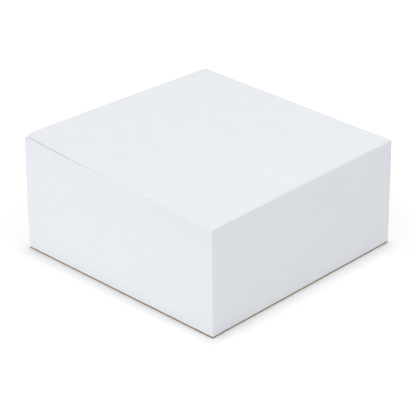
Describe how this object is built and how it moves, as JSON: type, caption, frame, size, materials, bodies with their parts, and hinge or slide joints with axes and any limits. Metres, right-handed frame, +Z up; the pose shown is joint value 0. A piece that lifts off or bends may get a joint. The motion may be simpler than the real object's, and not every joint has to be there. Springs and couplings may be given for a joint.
{
  "type": "memo cube",
  "caption": "Square block of plain white note sheets on a thin card, glued along one side, with the top sheet lifting at one corner.",
  "frame": {"origin": "centre of the footprint, glue included, on the surface that the card lies on", "axes": "+Z up, out of the top sheet; X and Y along the sheets' sides; +Y towards the glued side; the raised corner is at -X, -Y"},
  "size_m": [0.09, 0.0902, 0.0448],
  "materials": {
    "paper": "uncoated, matt",
    "board": "uncoated greyboard",
    "glue": "dried padding glue, satin"
  },
  "bodies": {
    "root": {"sheet_block": "paper", "top_sheet": "paper", "backing_board": "board", "binding_glue": "glue"}
  },
  "joints": []
}
